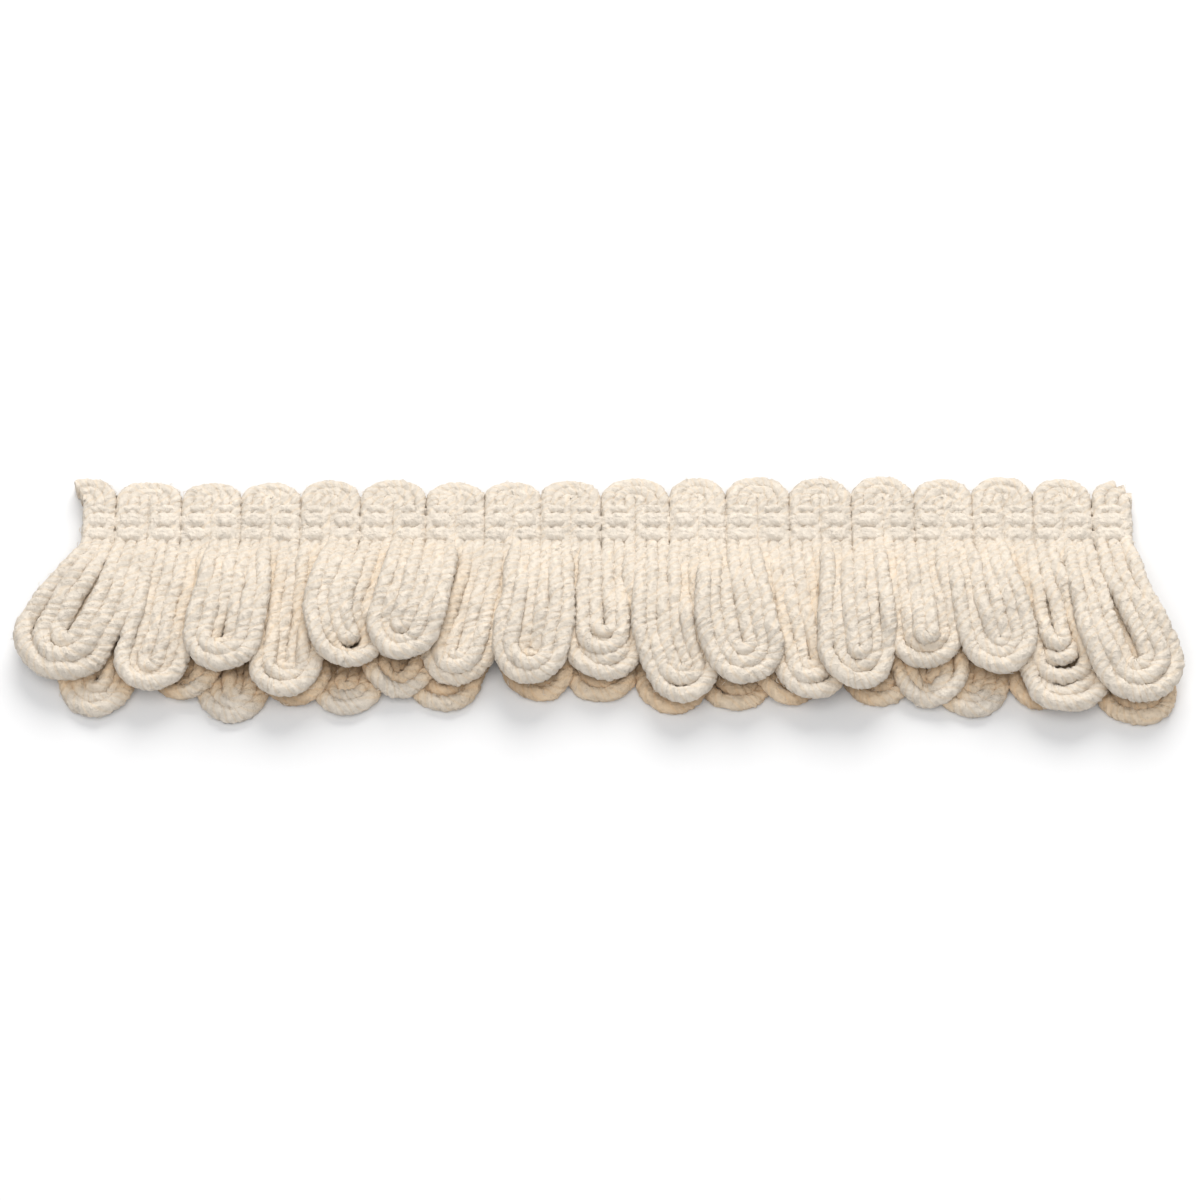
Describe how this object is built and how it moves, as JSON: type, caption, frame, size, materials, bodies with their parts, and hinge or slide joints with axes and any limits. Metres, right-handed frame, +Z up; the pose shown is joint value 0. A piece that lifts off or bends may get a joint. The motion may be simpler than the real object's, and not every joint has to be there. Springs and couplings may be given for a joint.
{
  "type": "looped fringe",
  "caption": "Cut length of woven looped fringe lying flat: a scalloped, cord-bound heading with layered, drooping yarn loops along its front.",
  "frame": {"origin": "on the flat underside of the heading, midway along the fringe", "axes": "+X along the fringe, -Y towards the tips of the loops, +Z up out of the face of the fringe"},
  "size_m": [0.1502, 0.0345, 0.0095],
  "materials": {
    "loop_yarn": "soft matte twisted cotton yarn in natural cream, slightly fuzzy",
    "binding_yarn": "matte cotton binding yarn in a slightly lighter cream"
  },
  "bodies": {
    "root": {"heading": "loop_yarn", "warp_cord_back": "binding_yarn", "warp_cord_middle": "binding_yarn", "warp_cord_front": "binding_yarn", "upper_loops": "loop_yarn", "lower_loops": "loop_yarn"}
  },
  "joints": []
}
